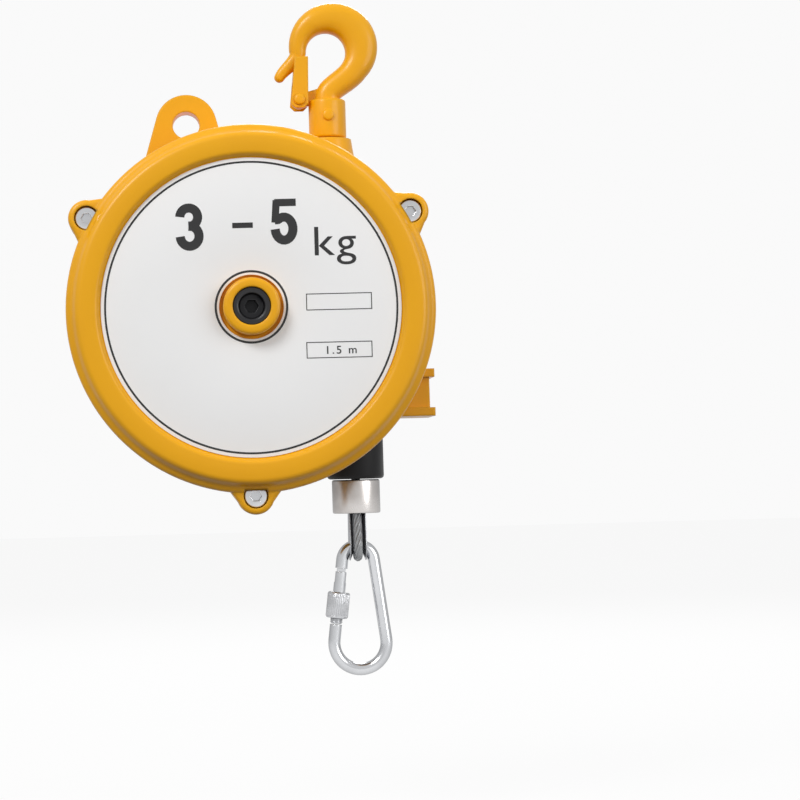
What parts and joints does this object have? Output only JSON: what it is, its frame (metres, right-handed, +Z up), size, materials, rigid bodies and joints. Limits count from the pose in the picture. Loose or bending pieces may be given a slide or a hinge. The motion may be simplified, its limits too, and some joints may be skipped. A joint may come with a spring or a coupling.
{
  "type": "spring tool balancer",
  "caption": "Spring tool balancer: cone drum in a round two-part casing, swivel hook with latch, wire rope, rubber buffer and screw-gate carabiner.",
  "frame": {"origin": "inner top of the suspension hook's bowl, in the plane of the hook and the rope", "axes": "+Z up along the hook's swivel axis; +Y from the labelled cover to the ratchet side; +X to the right of the labelled cover, towards the rope outlet"},
  "size_m": [0.151, 0.0746, 0.2838],
  "materials": {
    "yellow_casting": "gloss yellow enamel on die-cast aluminium",
    "yellow_paint": "gloss yellow enamel on forged steel",
    "label_film": "satin white printed plate",
    "zinc_steel": "bright zinc plated steel",
    "dark_steel": "blackened steel",
    "black_polymer": "black engineering plastic",
    "bronze": "sintered bronze",
    "cast_alloy": "as-cast aluminium",
    "spring_steel": "blued spring steel",
    "wire_rope": "stranded galvanised wire rope",
    "rubber": "black moulded rubber"
  },
  "bodies": {
    "hook": {"upper_hook": "yellow_paint", "hook_barrel": "yellow_paint", "hook_cross_pin": "yellow_paint", "swivel_washer": "zinc_steel", "swivel_nut": "zinc_steel", "latch_pin": "yellow_paint", "latch_spring": "spring_steel"},
    "latch": {"hook_latch": "yellow_paint"},
    "casing": {"rear_casing": "yellow_casting", "front_cover": "yellow_casting", "label_plate": "label_film", "cover_screws": "zinc_steel", "front_bush": "black_polymer", "rear_bush": "bronze", "outlet_bush": "black_polymer", "rope_lead": "wire_rope", "pawl_screw": "dark_steel", "pawl_spring": "spring_steel"},
    "drum": {"rope_drum": "cast_alloy", "drum_bush": "bronze", "spring_cover": "zinc_steel", "spring_cover_screws": "zinc_steel", "rope_wound": "wire_rope", "power_spring": "spring_steel"},
    "spindle": {"main_shaft": "dark_steel", "ratchet_wheel": "dark_steel"},
    "pawl": {"ratchet_pawl": "dark_steel"},
    "rope_end": {"rope_drop": "wire_rope", "rubber_buffer": "rubber", "stop_ring": "zinc_steel", "stop_ring_screw": "dark_steel", "rope_ferrule": "cast_alloy", "rope_eye": "wire_rope"},
    "carabiner": {"carabiner_body": "zinc_steel", "gate_pin": "zinc_steel"},
    "gate": {"carabiner_gate": "zinc_steel"},
    "nut": {"gate_nut": "zinc_steel"}
  },
  "joints": [
    {"name": "hook_swivel", "type": "hinge", "parent": "hook", "child": "casing", "pos_m": [0, 0, -0.0459], "axis": [0, 0, 1], "continuous": true},
    {"name": "latch_open", "type": "hinge", "parent": "hook", "child": "latch", "pos_m": [-0.0118, 0, -0.0288], "axis": [0, 1, 0], "range_deg": [0, 26], "stiffness_Nm_per_rad": 0.004, "springref_deg": -28.65, "deforming": ["latch_spring"]},
    {"name": "drum_spin", "type": "hinge", "parent": "casing", "child": "drum", "pos_m": [-0.0355, 0, -0.1192], "axis": [0, 1, 0], "range_deg": [0, 1650], "stiffness_Nm_per_rad": 0.022, "springref_deg": -3151.27, "deforming": ["rope_wound", "power_spring"]},
    {"name": "rope_pull", "type": "slide", "parent": "casing", "child": "rope_end", "axis": [0, 0, -1], "range_m": [0, 1.5], "deforming": ["rope_drop", "rope_lead"]},
    {"name": "carabiner_swing", "type": "hinge", "parent": "rope_end", "child": "carabiner", "pos_m": [0.0075, 0, -0.217], "axis": [1, 0, 0], "range_deg": [-60, 60]},
    {"name": "gate_open", "type": "hinge", "parent": "carabiner", "child": "gate", "pos_m": [0.00012, 0, -0.22897], "axis": [0, -1, 0], "range_deg": [0, 24], "stiffness_Nm_per_rad": 0.01, "springref_deg": -28.65},
    {"name": "nut_travel", "type": "slide", "parent": "gate", "child": "nut", "axis": [-0.1257, 0, -0.9921], "range_m": [0, 0.003]},
    {"name": "tension_ratchet", "type": "hinge", "parent": "casing", "child": "spindle", "pos_m": [-0.0355, 0, -0.1192], "axis": [0, -1, 0], "range_deg": [0, 43]},
    {"name": "pawl_lift", "type": "hinge", "parent": "casing", "child": "pawl", "pos_m": [-0.019, 0, -0.0995], "axis": [0, 1, 0], "range_deg": [0, 20.5], "deforming": ["pawl_spring"]}
  ],
  "couplings": [
    {"joint": "rope_pull", "follows": "drum_spin", "m_per_rad": 0.052086},
    {"joint": "pawl_lift", "follows": "tension_ratchet", "ratio": 0.47}
  ]
}
